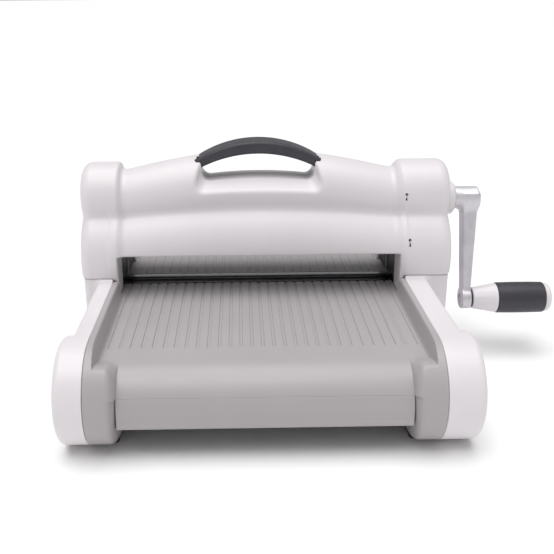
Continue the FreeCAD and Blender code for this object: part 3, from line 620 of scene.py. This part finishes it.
def tray_stations():
    half = [0.0]
    for number in range(GROOVES // 2 + 1):
        for offset in (-1.5, -1.25, -1.05, -0.8, 0.8, 1.05, 1.25, 1.5, PITCH / 2):
            half.append(number * PITCH + offset)
    edge = SHOULDER + (COLLAR_EDGE - SHOULDER) * (1 - np.cos(np.linspace(0, math.pi / 2, 11)))
    half = [v for v in half if 0 <= v < SHOULDER - 0.3 or COLLAR_EDGE + 0.1 < v < 112.3]
    half += [SHOULDER - 0.12, *edge, 104.4, *RAIL[:, 0], 120.4]
    half += [TRAY_HALF - 0.5, TRAY_HALF - 0.15, TRAY_HALF - 0.02]
    half = [v for v in half if v < TRAY_HALF]
    half = sorted(set(np.round(half, 3)))
    kept = [half[0]]
    for value in half[1:]:
        if value - kept[-1] > 0.06:
            kept.append(value)
    return np.array([-v for v in reversed(kept) if v > 0] + kept)


def tray():
    """Front tray as a shell: grooved deck, rails, nose and the two collars."""
    xs = tray_stations()
    ys = [-11.95, -13.0, -16.0, -24.0, -34.0, -42.0, -43.4, -43.6, TOWER_FRONT, -48.0]
    ys += list(np.linspace(-56, -136, 11))
    ys += [-137.3, -137.9, -138.4, -138.8, -139.1, -139.35, -139.6, -139.9, -141, -144, -148, -152]
    turns = list(np.radians(np.arange(0, 73.0, 2.0)))
    turns += list(SEAM_TURN + np.radians([-0.6, -0.2, 0.0]))
    below = list(SEAM_TURN + np.radians([0.8, 3.0])) + list(np.radians(np.arange(80, 176, 5.0)))
    below += [math.radians(178.5)]
    rows = len(ys) + len(turns) + len(below)
    outer = np.zeros((len(xs), rows, 3))
    inner = np.zeros_like(outer)
    seam_row = len(ys) + len(turns) - 1
    side = np.abs(xs)
    lift = 4.6 * smooth(SHOULDER - 2, COLLAR_EDGE + 1, side)
    across = np.clip((side - SHOULDER) / (COLLAR_EDGE - SHOULDER), 0, 1)
    weight = np.sqrt(1 - (1 - across) ** 2)
    for j, y in enumerate(ys):
        height = DECK_Z + (rail(xs) if y <= TOWER_FRONT else 0 * xs)
        z = height - groove(xs, y)
        outer[:, j] = np.stack([xs, 0 * xs + y, z], 1)
        inner[:, j] = np.stack([xs, 0 * xs + y, height - WALL], 1)
    for k, turn in enumerate(turns + below):
        j = len(ys) + k
        forward = smooth(0.12, 0.72, turn)
        top = DECK_Z + np.maximum(rail(xs), lift * forward)
        collar = collar_reach(np.full_like(xs, turn), top)
        if j <= seam_row:
            nose = np.full_like(xs, nose_reach(turn))
        else:
            nose = np.full_like(xs, 22.0)
        reach = nose * (1 - weight) + collar * weight
        deep = np.maximum(reach - WALL, 12.0)
        for layer, r in ((outer, reach), (inner, deep)):
            layer[:, j] = np.stack([xs, -DRUM_Y - r * math.sin(turn), DRUM_Z + r * math.cos(turn)], 1)
    cells = np.ones((len(xs) - 1, rows - 1), bool)
    tower_row = ys.index(TOWER_FRONT)
    for i in range(len(xs) - 1):
        widest = max(side[i], side[i + 1])
        if widest > DECK_HALF:
            cells[i, :tower_row] = False
        if widest < SHOULDER + 0.02:
            cells[i, seam_row:] = False
    return shell(xs, outer, inner, cells)


def shell(xs, outer, inner, cells):
    """Closed shell between two layers of a grid, for the cells that exist."""
    nx, ny = outer.shape[:2]
    number = np.arange(nx * ny).reshape(nx, ny)
    low = nx * ny
    faces = []
    edges = {}
    for i, j in zip(*np.nonzero(cells)):
        a, b, c, d = number[i, j], number[i + 1, j], number[i + 1, j + 1], number[i, j + 1]
        faces.append((a, d, c, b))
        faces.append((low + a, low + b, low + c, low + d))
        for u, v in ((a, d), (d, c), (c, b), (b, a)):
            if (v, u) in edges:
                del edges[(v, u)]
            else:
                edges[(u, v)] = True
    for u, v in edges:
        faces.append((v, u, low + u, low + v))
    points = np.concatenate([outer.reshape(-1, 3), inner.reshape(-1, 3)])
    used = np.unique(np.array(faces))
    place = np.full(len(points), -1)
    place[used] = np.arange(len(used))
    return points[used], place[np.array(faces)]


tray_points, tray_faces = tray()
front_tray = to_mesh("tray_front", tray_points, tray_faces)
crisp(front_tray, 50)
stand_for(front_tray, "frame", "grey_tray", "front_tray")
rear_tray = half_turn(front_tray, "tray_rear")
stand_for(rear_tray, "frame", "grey_tray", "rear_tray")


def nose_cover():
    """Lower half of the nose: it goes on from the tray's seam and turns in under it."""
    profile = []
    lip = NOSE_TOP
    for angle in np.radians(np.linspace(math.degrees(math.asin((lip - 0.5 - NOSE_Z) / NOSE_R)), 0, 9)):
        profile.append((NOSE_Y - NOSE_R * math.cos(angle), NOSE_Z + NOSE_R * math.sin(angle)))
    first = profile[0]
    top = [(first[0] + 2.4, lip - 0.1), (first[0] + 0.6, lip), (first[0] + 0.12, lip - 0.2)]
    profile = top + profile
    front_y = NOSE_Y - NOSE_R
    rim = 1.5
    profile += [(front_y, NOSE_BOTTOM + rim + 0.4)]
    profile += [(front_y + rim - rim * math.cos(a), NOSE_BOTTOM + rim - rim * math.sin(a))
                for a in np.radians((0, 15, 30, 45, 60, 75, 90))]
    profile += [(front_y + 8, NOSE_BOTTOM), (front_y + 15.5, NOSE_BOTTOM)]
    xs = np.concatenate([[-COLLAR, -COLLAR + 0.4], np.linspace(-COLLAR + 4, COLLAR - 4, 41),
                         [COLLAR - 0.4, COLLAR]])
    path = np.array(profile)
    ahead = np.gradient(path, axis=0)
    ahead /= np.linalg.norm(ahead, axis=1)[:, None]
    inward = np.stack([-ahead[:, 1], ahead[:, 0]], 1) * 2.4
    layers = []
    for line in (path, path + inward):
        grid = np.zeros((len(xs), len(line), 3))
        grid[:, :, 0] = xs[:, None]
        grid[:, :, 1] = line[None, :, 0]
        grid[:, :, 2] = line[None, :, 1]
        layers.append(grid)
    return shell(xs, layers[0], layers[1], np.ones((len(xs) - 1, len(path) - 1), bool))


cover_points, cover_faces = nose_cover()
front_nose = to_mesh("nose_cover_front", cover_points, cover_faces)
crisp(front_nose, 50)
stand_for(front_nose, "frame", "grey_tray", "front_nose_cover")
rear_nose = half_turn(front_nose, "nose_cover_rear")
stand_for(rear_nose, "frame", "grey_tray", "rear_nose_cover")

# ---- crank and knob -----------------------------------------------------------------------------

arm_low, arm_high = span("crank_arm")
core_low, core_high = span("knob_core")
sleeve_low, sleeve_high = span("knob_grip")
cap_low, cap_high = span("knob_cap")
collar_low, collar_high = span("shaft_collar")
ARM_INNER = 176.5
ARM_OUTER = 189.6
ARM_TAPER = 6.4
HUB_R = 9.5
BOSS_R = 9.1
BOSS_END = 184.0


def crank_arm(x, y, z):
    """Tapered cast arm between the hub and the knob's boss."""
    reach = math.hypot(PIN_Y, PIN_Z - HUB_Z)
    dy, dz = PIN_Y / reach, (PIN_Z - HUB_Z) / reach
    along = y * dy + (z - HUB_Z) * dz
    across = y * dz - (z - HUB_Z) * dy
    t = np.clip(along / reach, 0, 1)
    outer = ARM_OUTER - ARM_TAPER * t
    half = 7.5 - 1.5 * t
    rim = 1.5
    u = np.abs(x - (ARM_INNER + outer) / 2) - (outer - ARM_INNER) / 2 + rim
    v = np.abs(across) - half + rim
    bar = np.hypot(np.maximum(u, 0), np.maximum(v, 0)) + np.minimum(np.maximum(u, v), 0) - rim
    bar = np.maximum(bar, np.maximum(-along, along - reach))
    hub = disc(x, y, z, arm_low[0], arm_high[0], HUB_R, 0, HUB_Z, 0.8, 1.6)
    boss = disc(x, y, z, ARM_INNER - 0.5, BOSS_END, BOSS_R, PIN_Y, PIN_Z, 1.0, 0.8)
    body = smin(smin(bar, hub, 7.0), boss, 1.5)
    body = np.maximum(body, arm_low[0] - x)
    seat = np.maximum(np.hypot(y, z - HUB_Z) - 4.9, arm_high[0] - 2.6 - x)
    shaft = np.maximum(np.hypot(y, z - HUB_Z) - 6.03, x - arm_high[0] + 4.0)
    pin = np.maximum(np.hypot(y - PIN_Y, z - PIN_Z) - 4.03, ARM_INNER - 0.1 - x)
    body = smax(body, -seat, 0.6)
    return np.maximum(body, -np.minimum(shaft, pin))


crank = contour("crank_casting", crank_arm, arm_low, arm_high, 0.62)
stand_for(crank, "crank", "crank_silver", "crank_arm")


def flutes(x, radius, angle):
    """Faint flutes round the cone of the knob."""
    fade = smooth(core_low[0] + 1.5, core_low[0] + 5, x) * (1 - smooth(CONE_END - 3, CONE_END - 1, x))
    return -0.16 * fade * (0.5 + 0.5 * np.cos(angle * 14)) * (radius > SLEEVE_R)


SLEEVE_R = 9.5
CONE_END = sleeve_low[0]
CONE_R = (core_high[2] - core_low[2]) / 2
start = core_low[0]
cone = [(start, 4.1), (start, 8.5), (start + 0.25, 8.95), (start + 0.8, 9.2)]
cone += [(start + (CONE_END - 0.8 - start) * t, 9.2 + (CONE_R - 9.2) * t) for t in
         np.linspace(0.08, 1, 14)]
cone += [(CONE_END - 0.3, CONE_R - 0.1), (CONE_END, CONE_R - 0.5), (CONE_END, SLEEVE_R),
         (core_high[0], SLEEVE_R), (core_high[0], 4.1)]
knob_core = lathe("knob_cone", cone, PIN_Y, PIN_Z, 168, flutes)
stand_for(knob_core, "knob", "white_knob", "knob_core")

KNOB_R = (sleeve_high[2] - sleeve_low[2]) / 2
first, last = sleeve_low[0] + 0.15, sleeve_high[0] - 0.1
sleeve = [(first, SLEEVE_R + 0.02), (first, KNOB_R - 1.2)]
sleeve += [(x + first + 0.9, r + KNOB_R - 1.15) for x, r in arc(0, 0, 0.9, 180, 90, 6)]
sleeve += [(first + 1.4 + (last - first - 2.8) * t, KNOB_R - 0.24 + 0.24 * math.sin(math.pi * t))
           for t in np.linspace(0, 1, 17)]
sleeve += [(x + last - 0.9, r + KNOB_R - 1.15) for x, r in arc(0, 0, 0.9, 90, 0, 6)]
sleeve += [(last, KNOB_R - 1.2), (last, SLEEVE_R + 0.02)]
knob_sleeve = lathe("knob_sleeve", sleeve, PIN_Y, PIN_Z, 120)
stand_for(knob_sleeve, "knob", "dark_grip", "knob_grip")

CAP_R = (cap_high[2] - cap_low[2]) / 2
cap = [(cap_low[0], 0), (cap_low[0], CAP_R - 0.3), (cap_low[0] + 0.3, CAP_R)]
cap += [(x + cap_high[0] - 3.2, r + CAP_R - 3.2) for x, r in arc(0, 0, 3.2, 90, 8, 10)]
cap += [(cap_high[0] - 0.02, CAP_R * 0.45), (cap_high[0], 0)]
knob_cap = lathe("knob_end", cap, PIN_Y, PIN_Z, 96)
stand_for(knob_cap, "knob", "white_knob", "knob_cap")

COLLAR_R = (collar_high[2] - collar_low[2]) / 2
boss = [(collar_low[0], 6.6), (collar_low[0], COLLAR_R), (collar_high[0] - 2.4, COLLAR_R)]
boss += [(collar_high[0] - 2.0, COLLAR_R - 0.15), (collar_high[0] - 0.6, COLLAR_R - 1.5),
         (collar_high[0] - 0.15, COLLAR_R - 2.1), (collar_high[0], COLLAR_R - 2.6),
         (collar_high[0], 6.6)]
shaft_boss = lathe("shaft_boss", boss, 0, HUB_Z, 96)
stand_for(shaft_boss, "frame", "white_shell", "shaft_collar")

# ---- clip windows and painted shade strips ------------------------------------------------------


def prism(name, near, far, slot):
    """Closed piece between two outlines with the same number of points."""
    count = len(near)
    faces = [tuple(range(count)), tuple(reversed(range(count, 2 * count)))]
    for k in range(count):
        m = (k + 1) % count
        faces.append((k, count + k, count + m, m))
    piece = to_mesh(name, np.array(near + far), faces, smooth=False)
    paint(piece, slot)
    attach(piece, "frame")
    return piece


def housing_front(x, z):
    """Y of the housing's front surface at a place seen from the front."""
    y = -50.0
    for _ in range(60):
        y += 0.9 * float(tower(np.float64(x), np.float64(y), np.float64(z)))
    return y


def clip_window(name, x, z):
    """Small dark keyhole window lying in the column's round front."""
    outline = [(x + px, z + pz + 1.9) for px, pz in arc(0, 0, 1.15, -35, 215, 12)]
    outline += [(x - 0.55, z + 0.7), (x - 0.55, z - 2.0), (x - 0.95, z - 3.0), (x + 0.95, z - 3.0),
                (x + 0.55, z - 2.0), (x + 0.55, z + 0.7)]
    fronts = [housing_front(px, pz) for px, pz in outline]
    near = [(px, y - 0.08, pz) for (px, pz), y in zip(outline, fronts)]
    far = [(px, y + 0.6, pz) for (px, pz), y in zip(outline, fronts)]
    return prism(name, near, far, "black_washer")


clip_window("clip_window_upper", 122.7, 142.7)
clip_window("clip_window_lower", 124.7, 107.2)


def painted_shade_strip(name, side):
    """Dark sheet painted on a rear cheek of the feed slot as shade, where the cheek lies in shadow."""
    outline = []
    for y, z, start in ((40.6, 65.0, -90), (40.6, 94.6, 0), (22.6, 94.6, 90), (22.6, 65.0, 180)):
        outline += arc(y, z, 2.0, start, start + 90, 6)
    if side < 0:
        outline.reverse()
    near = [(side * (OPENING_HALF - 0.3), y, z) for y, z in outline]
    far = [(side * (OPENING_HALF - 0.02), y, z) for y, z in outline]
    return prism(name, near, far, "black_washer")


# dark sheets that paint the shade on the rear cheeks of the feed slot
painted_shade_strip("slot_liner_left", -1)
painted_shade_strip("slot_liner_right", 1)

# ---- camera, floor and light --------------------------------------------------------------------

camera_data = bpy.data.cameras.new("camera")
camera = bpy.data.objects.new("camera", camera_data)
bpy.context.scene.collection.objects.link(camera)
forward = Vector((0.013891, 0.946344, -0.322862)).normalized()
right = forward.cross(Vector((0.012091, 0.322710, 0.946421))).normalized()
up = right.cross(forward)
pose = Matrix((right, up, -forward)).transposed().to_4x4()
pose.translation = Vector((-68.20, -627.3, 303.88)) * MM
camera.matrix_world = pose
camera_data.lens = 48.74
camera_data.shift_x = 0.0480
camera_data.shift_y = -0.0518
camera_data.clip_end = 200
bpy.context.scene.camera = camera

floor_half = 40.0
floor_mesh = bpy.data.meshes.new("floor")
floor_mesh.from_pydata([(-floor_half, -floor_half, 0), (floor_half, -floor_half, 0),
                        (floor_half, floor_half, 0), (-floor_half, floor_half, 0)], [], [(0, 1, 2, 3)])
floor = bpy.data.objects.new("floor", floor_mesh)
bpy.context.scene.collection.objects.link(floor)
floor_surface = Surface("floor", (0.97, 0.97, 0.97), 0.8, Specular_IOR_Level=0.1)
floor_mesh.materials.append(floor_surface.material)

world = bpy.data.worlds.new("studio")
bpy.context.scene.world = world
world.use_nodes = True
background = world.node_tree.nodes["Background"]
background.inputs["Color"].default_value = (1, 1, 1, 1)
background.inputs["Strength"].default_value = 0.38


def lamp(name, place, target, width, height, power, colour=(1, 1, 1)):
    data = bpy.data.lights.new(name, "AREA")
    data.shape = "RECTANGLE"
    data.size = width
    data.size_y = height
    data.energy = power
    data.color = colour
    piece = bpy.data.objects.new(name, data)
    bpy.context.scene.collection.objects.link(piece)
    piece.location = place
    piece.rotation_euler = (Vector(target) - Vector(place)).to_track_quat("-Z", "Y").to_euler()
    return piece


sun_data = bpy.data.lights.new("overhead", "SUN")
sun_data.energy = 2.15
sun_data.angle = math.radians(55)
sun = bpy.data.objects.new("overhead", sun_data)
bpy.context.scene.collection.objects.link(sun)
sun.rotation_euler = (math.radians(2), math.radians(-4), 0)
lamp("front_box", (-0.5, -1.3, 2.1), (0, 0, 0.08), 1.5, 0.9, 7)

bpy.context.scene.view_settings.view_transform = "Standard"
